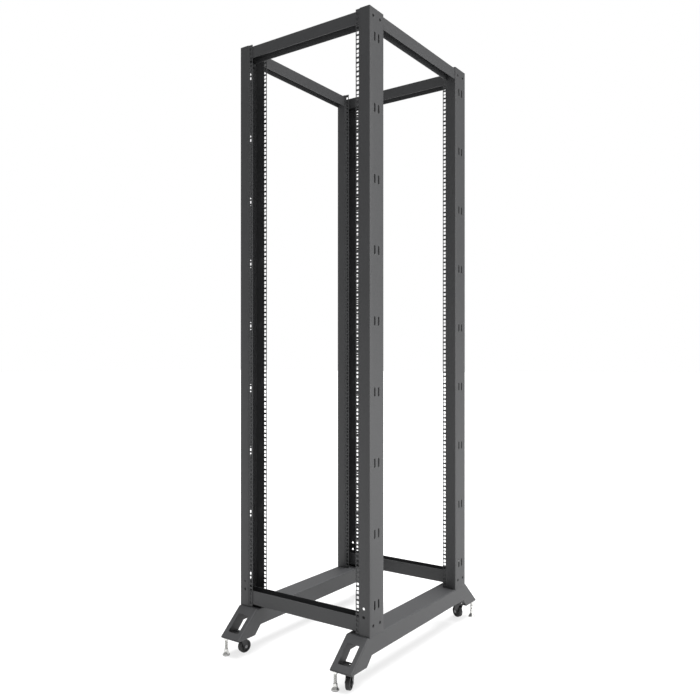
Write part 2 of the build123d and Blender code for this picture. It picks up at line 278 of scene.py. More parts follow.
class RackFinishColours(bpy.types.PropertyGroup):
    """Colours of the finishes."""

    coat: bpy.props.FloatVectorProperty(
        name="Powder Coat", description="Colour of the frame's powder coat",
        default=(0.03, 0.0305, 0.032), min=0, max=1, size=3, subtype="COLOR")
    caster: bpy.props.FloatVectorProperty(
        name="Caster Paint", description="Colour of the caster forks and plates",
        default=(0.012, 0.012, 0.013), min=0, max=1, size=3, subtype="COLOR")
    wheel: bpy.props.FloatVectorProperty(
        name="Wheel", description="Colour of the caster wheels",
        default=(0.014, 0.014, 0.0145), min=0, max=1, size=3, subtype="COLOR")
    zinc: bpy.props.FloatVectorProperty(
        name="Zinc", description="Colour of the zinc plate",
        default=(0.78, 0.78, 0.76), min=0, max=1, size=3, subtype="COLOR")
    steel: bpy.props.FloatVectorProperty(
        name="Axle Steel", description="Colour of the oiled steel of the caster axles",
        default=(0.2, 0.2, 0.205), min=0, max=1, size=3, subtype="COLOR")
    screw: bpy.props.FloatVectorProperty(
        name="Screw", description="Colour of the blackened screws",
        default=(0.005, 0.005, 0.0055), min=0, max=1, size=3, subtype="COLOR")


class RackStudio(bpy.types.PropertyGroup):
    """The studio round the rack."""

    floor_size: bpy.props.FloatProperty(
        name="Floor", description="Side of the floor",
        default=120.0, unit="LENGTH", subtype="DISTANCE")
    ambient: bpy.props.FloatProperty(
        name="Ambient", description="Strength of the light from all round", default=0.34, min=0)
    paper_glow: bpy.props.FloatProperty(
        name="Paper Glow", description="Light that the lit paper gives back", default=0.74, min=0)
    box_power: bpy.props.FloatProperty(
        name="Side Box", description="Power of the tall soft box on the right",
        default=36.0, min=0, unit="POWER")
    overhead: bpy.props.FloatProperty(
        name="Overhead", description="Strength of the light from above", default=7.5, min=0)
    overhead_angle: bpy.props.FloatProperty(
        name="Overhead Softness", description="Angle that the light from above fills",
        default=math.radians(45), unit="ROTATION", subtype="ANGLE")


# Node helpers
def fresh_material(name):
    """A new material with its nodes, its links and its main shader."""
    material = bpy.data.materials.new(name)
    material.use_nodes = True
    tree = material.node_tree
    return material, tree, tree.nodes["Principled BSDF"]


def object_noise(tree, scale, detail, roughness=0.5):
    """Noise over the object's own coordinates."""
    coordinates = tree.nodes.new("ShaderNodeTexCoord")
    noise = tree.nodes.new("ShaderNodeTexNoise")
    noise.inputs["Scale"].default_value = scale
    noise.inputs["Detail"].default_value = detail
    noise.inputs["Roughness"].default_value = roughness
    tree.links.new(coordinates.outputs["Object"], noise.inputs["Vector"])
    return noise


def ramp_between(tree, factor, low, high):
    """A colour that runs from low to high with a factor."""
    mix = tree.nodes.new("ShaderNodeMix")
    mix.data_type = "RGBA"
    mix.inputs["A"].default_value = (*low, 1)
    mix.inputs["B"].default_value = (*high, 1)
    tree.links.new(factor, mix.inputs["Factor"])
    return mix.outputs["Result"]


def value_between(tree, factor, low, high):
    """A number that runs from low to high with a factor."""
    spread = tree.nodes.new("ShaderNodeMapRange")
    spread.inputs["To Min"].default_value = low
    spread.inputs["To Max"].default_value = high
    tree.links.new(factor, spread.inputs["Value"])
    return spread.outputs["Result"]


def bump_from(tree, height, distance, strength, before=None):
    """A bump node from a height, over another bump if one is given."""
    bump = tree.nodes.new("ShaderNodeBump")
    bump.inputs["Distance"].default_value = distance
    bump.inputs["Strength"].default_value = strength
    tree.links.new(height, bump.inputs["Height"])
    if before is not None:
        tree.links.new(before, bump.inputs["Normal"])
    return bump.outputs["Normal"]


def shade(colour, share):
    """A colour made lighter or darker by a share."""
    return tuple(channel * share for channel in colour)


# Materials
def powder_coat(colour):
    """Charcoal powder coat with its fine orange peel."""
    material, tree, shader = fresh_material("charcoal_powder_coat")
    grain = object_noise(tree, 1400, 2)
    cloud = object_noise(tree, 9, 3)
    tree.links.new(ramp_between(tree, cloud.outputs["Fac"], shade(colour, 0.9), shade(colour, 1.12)),
                   shader.inputs["Base Color"])
    tree.links.new(value_between(tree, grain.outputs["Fac"], 0.44, 0.58), shader.inputs["Roughness"])
    peel = object_noise(tree, 420, 1)
    first = bump_from(tree, peel.outputs["Fac"], 0.0002, 0.35)
    tree.links.new(bump_from(tree, grain.outputs["Fac"], 0.00006, 0.5, first), shader.inputs["Normal"])
    shader.inputs["Specular IOR Level"].default_value = 0.5
    return material


def caster_paint(colour):
    """Black paint on pressed steel, a little glossier than the frame."""
    material, tree, shader = fresh_material("caster_black_paint")
    cloud = object_noise(tree, 60, 3)
    tree.links.new(ramp_between(tree, cloud.outputs["Fac"], shade(colour, 0.8), shade(colour, 1.3)),
                   shader.inputs["Base Color"])
    tree.links.new(value_between(tree, cloud.outputs["Fac"], 0.3, 0.45), shader.inputs["Roughness"])
    tree.links.new(bump_from(tree, cloud.outputs["Fac"], 0.0002, 0.3), shader.inputs["Normal"])
    return material


def wheel_plastic(colour):
    """Moulded black wheel, scuffed by the floor."""
    material, tree, shader = fresh_material("moulded_wheel")
    grain = object_noise(tree, 900, 3)
    scuff = object_noise(tree, 120, 4, 0.7)
    tree.links.new(ramp_between(tree, scuff.outputs["Fac"], shade(colour, 0.7), shade(colour, 1.9)),
                   shader.inputs["Base Color"])
    tree.links.new(value_between(tree, grain.outputs["Fac"], 0.5, 0.7), shader.inputs["Roughness"])
    tree.links.new(bump_from(tree, grain.outputs["Fac"], 0.0001, 0.4), shader.inputs["Normal"])
    return material


def zinc_plate(colour):
    """Bright zinc plate with its faint turning lines and mottle."""
    material, tree, shader = fresh_material("bright_zinc_plate")
    mottle = object_noise(tree, 260, 3)
    tree.links.new(ramp_between(tree, mottle.outputs["Fac"], shade(colour, 0.86), colour),
                   shader.inputs["Base Color"])
    tree.links.new(value_between(tree, mottle.outputs["Fac"], 0.2, 0.36), shader.inputs["Roughness"])
    tree.links.new(bump_from(tree, mottle.outputs["Fac"], 0.00008, 0.3), shader.inputs["Normal"])
    shader.inputs["Metallic"].default_value = 1.0
    return material


def oiled_steel(colour):
    """Turned steel under a film of oil, for the caster axles."""
    material, tree, shader = fresh_material("oiled_axle_steel")
    mottle = object_noise(tree, 340, 3)
    tree.links.new(ramp_between(tree, mottle.outputs["Fac"], shade(colour, 0.7), shade(colour, 1.15)),
                   shader.inputs["Base Color"])
    tree.links.new(value_between(tree, mottle.outputs["Fac"], 0.35, 0.5), shader.inputs["Roughness"])
    tree.links.new(bump_from(tree, mottle.outputs["Fac"], 0.00006, 0.3), shader.inputs["Normal"])
    shader.inputs["Metallic"].default_value = 1.0
    return material


def black_oxide(colour):
    """Blackened steel of the screws and their nuts."""
    material, tree, shader = fresh_material("black_oxide_steel")
    cloud = object_noise(tree, 480, 3)
    tree.links.new(ramp_between(tree, cloud.outputs["Fac"], shade(colour, 0.7), shade(colour, 1.5)),
                   shader.inputs["Base Color"])
    tree.links.new(value_between(tree, cloud.outputs["Fac"], 0.5, 0.7), shader.inputs["Roughness"])
    tree.links.new(bump_from(tree, cloud.outputs["Fac"], 0.00005, 0.3), shader.inputs["Normal"])
    shader.inputs["Specular IOR Level"].default_value = 0.25
    return material


def floor_paper(glow):
    """Pale studio paper."""
    material, tree, shader = fresh_material("studio_paper")
    fibre = object_noise(tree, 30, 4)
    tree.links.new(ramp_between(tree, fibre.outputs["Fac"], (0.26, 0.26, 0.26), (0.28, 0.28, 0.28)),
                   shader.inputs["Base Color"])
    shader.inputs["Roughness"].default_value = 0.9
    shader.inputs["Specular IOR Level"].default_value = 0.0
    shader.inputs["Emission Color"].default_value = (1, 1, 1, 1)
    shader.inputs["Emission Strength"].default_value = glow
    return material


def material_for(finish):
    """The material of a finish, which is a slot of the record, or the screws' or the axles' steel."""
    colours = bpy.context.scene.rack_finish
    makers = {
        "frame_coat": ("charcoal_powder_coat", powder_coat, colours.coat),
        "caster_black": ("caster_black_paint", caster_paint, colours.caster),
        "wheel_black": ("moulded_wheel", wheel_plastic, colours.wheel),
        "zinc": ("bright_zinc_plate", zinc_plate, colours.zinc),
        "screw": ("black_oxide_steel", black_oxide, colours.screw),
        "axle": ("oiled_axle_steel", oiled_steel, colours.steel),
    }
    name, maker, colour = makers[finish]
    return bpy.data.materials.get(name) or maker(tuple(colour))


# Mesh helpers
def finish_mesh(mesh, angle=35.0):
    """Smooth shading with sharp edges where faces meet at more than an angle."""
    for polygon in mesh.polygons:
        polygon.use_smooth = True
    mesh.set_sharp_from_angle(angle=math.radians(angle))


def new_object(name, mesh):
    """An object with a mesh, in the scene's collection."""
    piece = bpy.data.objects.new(name, mesh)
    bpy.context.scene.collection.objects.link(piece)
    return piece


def mesh_from(builder, name):
    """A mesh from a bmesh, with its normals outward."""
    bmesh.ops.recalc_face_normals(builder, faces=builder.faces)
    mesh = bpy.data.meshes.new(name)
    builder.to_mesh(mesh)
    builder.free()
    return mesh


def evaluated_mesh(piece):
    """The mesh of an object with its modifiers applied."""
    bpy.context.view_layer.update()
    graph = bpy.context.evaluated_depsgraph_get()
    return bpy.data.meshes.new_from_object(piece.evaluated_get(graph))


def add_piece(name, mesh, body, slot, replaced=(), finish=None):
    """A finished piece that rides on a body and takes its slot's material, or that of a finish."""
    mesh.materials.clear()
    mesh.materials.append(material_for(finish or slot))
    piece = new_object(name, mesh)
    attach(piece, body)
    if replaced:
        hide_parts(*replaced)
    return piece


def bent_sheet(path, thickness, bend, steps=4):
    """Pairs of points on both faces of a sheet bent along a path.

    The path follows the face on the left of its direction, and the sheet's thickness is to the right.
    """
    points = [Vector(point) for point in path]
    pairs = []
    for index, point in enumerate(points):
        before = (point - points[index - 1]).normalized() if index > 0 else None
        after = (points[index + 1] - point).normalized() if index + 1 < len(points) else None
        if before is None or after is None:
            along = after or before
            right = Vector((along.y, -along.x))
            pairs.append((point, point + right * thickness))
            continue
        turn = math.atan2(before.cross(after), before.dot(after))
        # A right hand turn bends round the far face, so the near face has the larger radius
        near = bend + thickness if turn < 0 else bend
        reach = near * math.tan(abs(turn) / 2)
        side = Vector((before.y, -before.x)) if turn < 0 else Vector((-before.y, before.x))
        centre = point - before * reach + side * near
        for step in range(steps + 1):
            swing = Matrix.Rotation(turn * step / steps, 2)
            radial = swing @ (-side)
            far = near - thickness if turn < 0 else near + thickness
            pairs.append((centre + radial * near, centre + radial * far))
    return pairs


def sheet_prism(pairs, low, high):
    """A closed prism of a bent sheet's section, from one height to another."""
    builder = bmesh.new()
    levels = [
        [(builder.verts.new((a.x, a.y, z)), builder.verts.new((b.x, b.y, z))) for a, b in pairs]
        for z in (low, high)
    ]
    bottom, top = levels
    for index in range(len(pairs) - 1):
        for level in levels:
            builder.faces.new((level[index][0], level[index + 1][0], level[index + 1][1], level[index][1]))
        for face in (0, 1):
            builder.faces.new(
                (bottom[index][face], bottom[index + 1][face], top[index + 1][face], top[index][face]))
    for end in (0, -1):
        builder.faces.new((bottom[end][0], bottom[end][1], top[end][1], top[end][0]))
    return builder


def add_bar(builder, low, high):
    """A closed box from its lowest to its highest corner."""
    size = high - low
    made = bmesh.ops.create_cube(builder, size=1.0)
    bmesh.ops.transform(
        builder, matrix=Matrix.LocRotScale((low + high) / 2, None, size), verts=made["verts"])


def add_round_bar(builder, start, end, radius, sides=24, stretch=0.0):
    """A closed round bar; stretch turns it into an upright slot cutter that much longer."""
    axis = (end - start).normalized()
    turn = axis.to_track_quat("Z", "Y").to_matrix().to_4x4()
    made = bmesh.ops.create_cone(
        builder, cap_ends=True, segments=sides, radius1=radius, radius2=radius,
        depth=(end - start).length, matrix=Matrix.Translation((start + end) / 2) @ turn)
    if stretch:
        up = Vector((0, 0, 1))
        middle = (start + end) / 2
        half_step = Matrix.Rotation(math.pi / sides, 3, axis)
        for vertex in made["verts"]:
            vertex.co = middle + half_step @ (vertex.co - middle)
            ahead = (vertex.co - middle).dot(up)
            vertex.co += up * math.copysign(stretch / 2, ahead)


def arc_points(centre, radius, start, end, steps):
    """Points of an arc as (radius, height), from one angle in degrees to another."""
    turns = [math.radians(start + (end - start) * step / steps) for step in range(steps + 1)]
    return [(centre[0] + radius * math.cos(turn), centre[1] + radius * math.sin(turn)) for turn in turns]


def add_turned(builder, profile, segments=48, closed=False):
    """A solid turned round Z from (radius, height) points, between the axis or as a closed ring."""
    rings = []
    for radius, height in profile:
        turns = [2 * math.pi * n / segments for n in range(segments if radius > 0 else 1)]
        rings.append([
            builder.verts.new((radius * math.cos(turn), radius * math.sin(turn), height)) for turn in turns])
    followers = rings[1:] + rings[:1] if closed else rings[1:]
    for lower, upper in zip(rings, followers):
        for n in range(segments):
            corners = (lower[n % len(lower)], lower[(n + 1) % len(lower)],
                       upper[(n + 1) % len(upper)], upper[n % len(upper)])
            builder.faces.new(list(dict.fromkeys(corners)))


def append_builder(builder, other):
    """Adds the mesh of one bmesh to another and frees it."""
    mesh = bpy.data.meshes.new("part")
    other.to_mesh(mesh)
    other.free()
    builder.from_mesh(mesh)
    bpy.data.meshes.remove(mesh)


def add_hexagon(builder, width, low, high):
    """A hexagonal bar round Z."""
    bmesh.ops.create_cone(
        builder, cap_ends=True, segments=6, radius1=width / math.sqrt(3), radius2=width / math.sqrt(3),
        depth=high - low, matrix=Matrix.Translation((0, 0, (low + high) / 2)))


def add_bead(builder, start, end, radius, sides=8):
    """A rippled weld bead from one point to another."""
    length = (end - start).length
    turn = (end - start).to_track_quat("Z", "Y")
    steps = max(4, round(length / (radius / 2)))
    rings = []
    for step in range(steps + 1):
        ripple = 0.86 + 0.14 * abs(math.cos(math.pi * step / 4))
        ripple *= 0.4 if step in (0, steps) else 1.0
        middle = start.lerp(end, step / steps)
        ring = []
        for n in range(sides):
            swing = 2 * math.pi * n / sides
            spoke = Vector((math.cos(swing), math.sin(swing), 0)) * radius * ripple
            ring.append(builder.verts.new(middle + turn @ spoke))
        rings.append(ring)
    for lower, upper in zip(rings, rings[1:]):
        for n in range(sides):
            builder.faces.new((lower[n], lower[(n + 1) % sides], upper[(n + 1) % sides], upper[n]))
    builder.faces.new(rings[0])
    builder.faces.new(rings[-1])


def moved_copy(mesh, matrix, name):
    """A copy of a mesh moved by a matrix."""
    copy = mesh.copy()
    copy.name = name
    copy.transform(matrix)
    return copy


def pointing(place, direction):
    """The matrix that takes Z to a direction, at a place."""
    return Matrix.Translation(place) @ direction.to_track_quat("Z", "Y").to_matrix().to_4x4()


def cut_by(piece, builder):
    """Cuts an object's mesh by the closed shapes in a bmesh."""
    cutter = new_object("cutter", mesh_from(builder, "cutter"))
    boolean = piece.modifiers.new("cut", "BOOLEAN")
    boolean.operation = "DIFFERENCE"
    boolean.solver = "EXACT"
    boolean.object = cutter
    mesh = evaluated_mesh(piece)
    bpy.data.objects.remove(cutter)
    return mesh


def rounded_edges(piece, width, angle=40.0):
    """The mesh of an object with its sharp edges rounded."""
    bevel = piece.modifiers.new("round", "BEVEL")
    bevel.width = width
    bevel.segments = 1
    bevel.limit_method = "ANGLE"
    bevel.angle_limit = math.radians(angle)
    return evaluated_mesh(piece)


def mirrored(mesh, signs, name):
    """A copy of a mesh with X and Y turned by the signs, and its faces still outward."""
    copy = mesh.copy()
    copy.name = name
    copy.transform(Matrix.Diagonal((signs[0], signs[1], 1, 1)))
    if signs[0] * signs[1] < 0:
        copy.flip_normals()
    return copy


# Posts
def post_pairs(sizes, low, high):
    """Section of the front right post between its box's corners."""
    outer, front, back = high.x, low.y, high.y
    step_end = outer - sizes.plain_face - sizes.setback
    path = [
        (low.x, front + sizes.setback),
        (step_end, front + sizes.setback),
        (outer - sizes.plain_face, front),
        (outer, front),
        (outer, back),
        (outer - sizes.plain_face, back),
        (step_end, back - sizes.setback),
        (low.x, back - sizes.setback),
    ]
    return bent_sheet(path[::-1], sizes.sheet, sizes.bend)


def post_cutters(sizes, low, high):
    """Everything that is punched out of the front right post."""
    builder = bmesh.new()
    past = CUTTER_REACH
    hole = sizes.square_hole / 2
    column = mount_place("unit_holes_front_right_bottom").x
    first = low.z + ((high.z - low.z) - sizes.units * sizes.rack_unit) / 2
    for unit in range(sizes.units):
        for share in HOLE_SHARES:
            z = first + (unit + share) * sizes.rack_unit
            add_bar(builder, Vector((column - hole, low.y - past, z - hole)),
                    Vector((column + hole, high.y + past, z + hole)))
    # Round holes low in the plain face
    face_holes = mount_row("face_holes_front_right")
    middle = Vector(face_holes["pos_m"])
    rise = Vector((0, 0, face_holes["dims"]["spacing_y_mm"] * MM / 2))
    for centre in (middle - rise, middle + rise):
        add_round_bar(builder, centre - Vector((0, past, 0)), centre + Vector((0, past, 0)),
                      face_holes["dims"]["hole_r_mm"] * MM)
    # Slots and screw holes in the web
    web = (low.y + high.y) / 2
    pitch = (high.z - low.z - sizes.slot_rise - sizes.slot_drop) / (sizes.slot_pairs - 1)
    for number in range(sizes.slot_pairs):
        z = low.z + sizes.slot_rise + number * pitch
        for side in (-1, 1):
            y = web + side * sizes.slot_offset
            add_round_bar(builder, Vector((high.x - past, y, z)), Vector((high.x + past, y, z)),
                          sizes.slot_width / 2, stretch=sizes.slot_length - sizes.slot_width)
    screw = bpy.context.scene.rack_fasteners
    head = screw.head_radius + screw.head_gap
    for place in screw_places("front_right"):
        sink = bmesh.new()
        add_turned(sink, [
            (0, past), (head, past), (head, 0), (sizes.web_hole_radius, -sizes.sheet),
            (sizes.web_hole_radius, -past), (0, -past)], 32)
        sink.transform(pointing(place, Vector((1, 0, 0))))
        append_builder(builder, sink)
    return builder


def screw_places(corner):
    """Where the screws go through a post's web, on its outer face."""
    sizes = bpy.context.scene.rack_sheet
    side, _ = corner_signs(corner)
    low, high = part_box(f"post_{corner}")
    outer = high.x if side > 0 else low.x
    web = (low.y + high.y) / 2
    return [
        Vector((outer, web + offset, z))
        for z in (low.z + sizes.web_hole_rise, high.z - sizes.web_hole_drop)
        for offset in (-sizes.web_hole_offset, sizes.web_hole_offset)
    ]


class RACK_OT_posts(bpy.types.Operator):
    """Make the four posts with both their hole strips"""

    bl_idname = "rack.posts"
    bl_label = "Posts"

    def execute(self, context):
        sizes = context.scene.rack_sheet
        low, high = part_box("post_front_right")
        piece = new_object("post_blank", mesh_from(
            sheet_prism(post_pairs(sizes, low, high), low.z, high.z), "post_blank"))
        blank = piece.data
        piece.data = cut_by(piece, post_cutters(sizes, low, high))
        piece.modifiers.clear()
        punched = rounded_edges(piece, sizes.edge_round)
        bpy.data.objects.remove(piece)
        bpy.data.meshes.remove(blank)
        finish_mesh(punched)
        for corner in CORNERS:
            side, end = corner_signs(corner)
            mesh = mirrored(punched, (side, -end), f"post_{corner}_punched")
            add_piece(f"post_{corner}_punched", mesh, ROOT_BODY, "frame_coat", [f"post_{corner}"])
        return {"FINISHED"}


# Screws, rivets and welds
def screw_mesh(sizes, sheet):
    """A countersunk screw along Z, with its face at Z = 0 and its nut behind two sheets."""
    grip = 2 * sheet
    end = -grip - sizes.nut_height - 2 * MM
    soft = FASTENER_SOFT
    face = -sizes.head_sink
    profile = [
        (0, face), (sizes.head_radius - soft, face), (sizes.head_radius, face - soft),
        (sizes.shank_radius + soft, -sheet), (sizes.shank_radius, -sheet - soft),
        (sizes.shank_radius, end + soft), (sizes.shank_radius - soft, end), (0, end),
    ]
    builder = bmesh.new()
    add_turned(builder, profile, 40)
    screw = new_object("screw_blank", mesh_from(builder, "screw_blank"))
    socket = bmesh.new()
    add_hexagon(socket, sizes.socket_width, face - sizes.socket_depth, MM)
    builder = bmesh.new()
    builder.from_mesh(cut_by(screw, socket))
    bpy.data.objects.remove(screw)
    # The nut has its corners turned off at both faces
    corner = sizes.nut_width / math.sqrt(3)
    nut = bmesh.new()
    add_hexagon(nut, sizes.nut_width, -grip - sizes.nut_height, -grip)
    nut_piece = new_object("nut_blank", mesh_from(nut, "nut_blank"))
    rim = sizes.nut_width / 2
    fall = (corner - rim) * 0.6
    waste = bmesh.new()
    for level, way in ((-grip, 1), (-grip - sizes.nut_height, -1)):
        add_turned(waste, [
            (rim, level + way * 0.1 * MM), (rim, level), (corner + MM, level - way * fall * 2.2),
            (corner + MM, level + way * 0.1 * MM)], 40, closed=True)
    builder.from_mesh(cut_by(nut_piece, waste))
    bpy.data.objects.remove(nut_piece)
    mesh = mesh_from(builder, "countersunk_screw")
    finish_mesh(mesh, 30.0)
    return mesh


class RACK_OT_screws(bpy.types.Operator):
    """Screw the cross beams' end plates to the posts' webs"""

    bl_idname = "rack.screws"
    bl_label = "Screws"

    def execute(self, context):
        sheet = context.scene.rack_sheet
        mesh = screw_mesh(context.scene.rack_fasteners, sheet.sheet)
        words = ("lower_front", "lower_rear", "upper_front", "upper_rear")
        for corner in CORNERS:
            side, _ = corner_signs(corner)
            for word, place in zip(words, screw_places(corner)):
                name = f"screw_{corner}_{word}"
                copy = moved_copy(mesh, pointing(place, Vector((side, 0, 0))), name)
                add_piece(name, copy, ROOT_BODY, "caster_black", finish="screw")
        return {"FINISHED"}


def rivet_profile(radius, low, high):
    """A rivet with a head half as tall as its radius at both ends, from one plate face to the other."""
    head = arc_points((0, 0), 1, 90, 0, 6)
    rise = radius * 0.5
    top = [(x * radius, high + y * rise) for x, y in head]
    bottom = [(x * radius, low - y * rise) for x, y in reversed(head)]
    top[0] = (0, top[0][1])
    bottom[-1] = (0, bottom[-1][1])
    return top + bottom


def rivets_builder(sizes, low, high):
    """Four rivets through a caster plate and the foot plate over it."""
    middle = (low + high) / 2
    reach = (high.x - low.x) / 2 - sizes.rivet_inset
    profile = rivet_profile(sizes.rivet_radius, high.z - PLATE_SHEET, high.z + RAIL_SHEET)
    builder = bmesh.new()
    for across in (-reach, reach):
        for along in (-reach, reach):
            rivet = bmesh.new()
            add_turned(rivet, profile, 20)
            rivet.transform(Matrix.Translation((middle.x + across, middle.y + along, 0)))
            append_builder(builder, rivet)
    return builder


def race_lip_builder(middle, plate_underside):
    """The pressed lip round a caster's ball race."""
    inner = RACE_RADIUS - MM
    builder = bmesh.new()
    add_turned(builder, [
        (inner, plate_underside - LIP_TOP), (RACE_RADIUS + LIP_REACH, plate_underside - LIP_TOP),
        (RACE_RADIUS + LIP_BULGE, plate_underside - LIP_MIDDLE),
        (RACE_RADIUS + LIP_REACH, plate_underside - LIP_BOTTOM),
        (inner, plate_underside - LIP_BOTTOM)], 56, closed=True)
    builder.transform(Matrix.Translation((middle.x, middle.y, 0)))
    return builder


class RACK_OT_rivets(bpy.types.Operator):
    """Rivet each caster plate to its foot plate and put a lip round its ball race"""

    bl_idname = "rack.rivets"
    bl_label = "Rivets"

    def execute(self, context):
        sizes = context.scene.rack_fasteners
        for corner in CORNERS:
            low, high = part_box(f"caster_plate_{corner}")
            mesh = mesh_from(rivets_builder(sizes, low, high), f"caster_rivets_{corner}")
            finish_mesh(mesh)
            add_piece(f"caster_rivets_{corner}", mesh, ROOT_BODY, "zinc")
            lip = race_lip_builder((low + high) / 2, high.z - PLATE_SHEET)
            mesh = mesh_from(lip, f"caster_race_{corner}")
            finish_mesh(mesh)
            add_piece(f"caster_race_{corner}", mesh, ROOT_BODY, "caster_black")
        return {"FINISHED"}


class RACK_OT_welds(bpy.types.Operator):
    """Weld the posts to the base rails"""

    bl_idname = "rack.welds"
    bl_label = "Welds"

    def execute(self, context):
        sheet = context.scene.rack_sheet
        sizes = context.scene.rack_fasteners
        corner_round = sheet.bend + RAIL_SHEET
        for corner in CORNERS:
            side, _ = corner_signs(corner)
            low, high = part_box(f"post_{corner}")
            outer = high.x if side > 0 else low.x
            foot = low.z
            inside = outer - side * sheet.sheet
            front = low.y + sheet.sheet
            back = high.y - sheet.sheet
            builder = bmesh.new()
            add_bead(builder, Vector((inside, front + sheet.bend, foot)),
                     Vector((inside, back - sheet.bend, foot)), sizes.bead_radius)
            clear = sizes.bead_clear
            reach = side * (sheet.plain_face - clear)
            for y in (front, back):
                add_bead(builder, Vector((outer - side * clear, y, foot)),
                         Vector((outer - reach, y, foot)), sizes.bead_radius)
            # The seam that fills the rail's bend under the web, ground flush with both faces
            curve = [(outer - side * across, foot - drop) for across, drop in seam_curve(corner_round)]
            seam = [(outer, foot)] + curve
            rows = [[builder.verts.new((x, y, z)) for x, z in seam]
                    for y in (low.y + sheet.bend + sheet.sheet, high.y - sheet.bend - sheet.sheet)]
            count = len(seam)
            for n in range(count):
                after = (n + 1) % count
                builder.faces.new((rows[0][n], rows[0][after], rows[1][after], rows[1][n]))
            for row in rows:
                builder.faces.new(row)
            mesh = mesh_from(builder, f"post_weld_{corner}")
            finish_mesh(mesh)
            add_piece(f"post_weld_{corner}", mesh, ROOT_BODY, "frame_coat")
        return {"FINISHED"}


def seam_curve(radius, steps=8):
    """The rounded corner under a seam, as (inward, downward) distances from the sharp corner."""
    return [
        (radius - radius * math.sin(turn), radius - radius * math.cos(turn))
        for turn in (math.pi / 2 * step / steps for step in range(steps, -1, -1))
    ]


# Wheels and levelling feet
def wheel_builder(sizes, radius, width):
    """A moulded wheel round Z with a rounded tread, recessed sides, a hub and ribs."""
    half = width / 2
    shoulder = sizes.wheel_shoulder
    floor = half - sizes.recess
    soft = MOULDING_SOFT
    upper = [
        (sizes.bore_radius, half - soft),
        (sizes.bore_radius + soft, half),
        (sizes.hub_radius - soft, half),
        (sizes.hub_radius, half - soft),
        (sizes.hub_radius + soft, floor),
        (sizes.rim_radius - soft, floor),
        (sizes.rim_radius, half - soft),
        (sizes.rim_radius + soft, half),
    ]
    upper += arc_points((radius - shoulder, half - shoulder), shoulder, 90, 0, 6)
    # A shallow groove runs round the tread on each side of its middle
    groove = 0.5 * MM
    tread = [
        (radius, groove * 6), (radius - groove, groove * 5),
        (radius - groove, groove * 4), (radius, groove * 3),
    ]
    lower = [(r, -z) for r, z in reversed(upper + tread)]
    builder = bmesh.new()
    add_turned(builder, upper + tread + lower, 72, closed=True)
    for number in range(sizes.ribs):
        turn = Matrix.Rotation(2 * math.pi * number / sizes.ribs, 4, "Z")
        for face in (-1, 1):
            rib = bmesh.new()
            levels = sorted((face * (floor - MM), face * (half - 1.2 * MM)))
            add_bar(rib, Vector((sizes.hub_radius - MM, -0.9 * MM, levels[0])),
                    Vector((sizes.rim_radius + MM, 0.9 * MM, levels[1])))
            rib.transform(turn)
            append_builder(builder, rib)
    return builder


class RACK_OT_wheels(bpy.types.Operator):
    """Make the four moulded wheels"""

    bl_idname = "rack.wheels"
    bl_label = "Wheels"

    def execute(self, context):
        sizes = context.scene.rack_running
        for corner in CORNERS:
            joint = joint_row(f"wheel_spin_{corner}")
            low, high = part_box(f"caster_wheel_{corner}")
            radius = (high.z - low.z) / 2
            builder = wheel_builder(sizes, radius, WHEEL_WIDTH)
            builder.transform(pointing(Vector(joint["pos_m"]), Vector(joint["axis"])))
            mesh = mesh_from(builder, f"wheel_{corner}_moulded")
            finish_mesh(mesh)
            add_piece(f"wheel_{corner}_moulded", mesh, f"wheel_{corner}", "wheel_black",
                      [f"caster_wheel_{corner}"])
        return {"FINISHED"}


def add_thread(builder, radius, depth, pitch, low, high, segments=24):
    """A threaded rod round Z whose ridge climbs as a helix."""
    steps = round((high - low) / (pitch / 6))
    rings = []
    for step in range(steps + 1):
        z = low + (high - low) * step / steps
        ring = []
        for n in range(segments):
            share = (z / pitch - n / segments) % 1.0
            ridge = 1 - abs(2 * share - 1)
            reach = radius - depth * (1 - min(1.0, ridge * 1.25))
            turn = 2 * math.pi * n / segments
            ring.append(builder.verts.new((reach * math.cos(turn), reach * math.sin(turn), z)))
        rings.append(ring)
    for lower, upper in zip(rings, rings[1:]):
        for n in range(segments):
            builder.faces.new((lower[n], lower[(n + 1) % segments], upper[(n + 1) % segments], upper[n]))
    builder.faces.new(rings[0])
    builder.faces.new(rings[-1])


def levelling_foot_builder(sizes, radius, height):
    """A bell shaped foot round Z, with a hexagon and a threaded stud over it."""
    neck = sizes.spanner_width / math.sqrt(3)
    bell = sizes.bell_height
    rim = sizes.pad_height + BELL_RIM
    flare = [
        (radius + (neck - radius) * share - 2 * sizes.bell_hollow * share * (1 - share),
         rim + (bell - rim) * share)
        for share in (step / 10 for step in range(11))
    ]
    under = sizes.pad_height - PAD_LAP
    profile = [(0, under), (radius - BELL_EDGE, under), (radius, sizes.pad_height + BELL_ROUND)]
    builder = bmesh.new()
    add_turned(builder, profile + flare + [(0, bell)], 48)
    add_hexagon(builder, sizes.spanner_width, bell - HEXAGON_SEAT, bell + HEXAGON_HEIGHT)
    add_thread(builder, sizes.stud_radius, sizes.thread_depth, sizes.thread_pitch,
               bell + THREAD_START, height)
    return builder


def levelling_pad_builder(sizes, radius):
    """The plastic pad under a levelling foot, with a softened lower edge."""
    side = radius - PAD_INSET
    builder = bmesh.new()
    add_turned(builder, [
        (0, 0), (side - PAD_ROUND, 0), (side, PAD_ROUND),
        (side, sizes.pad_height), (0, sizes.pad_height)], 48)
    return builder


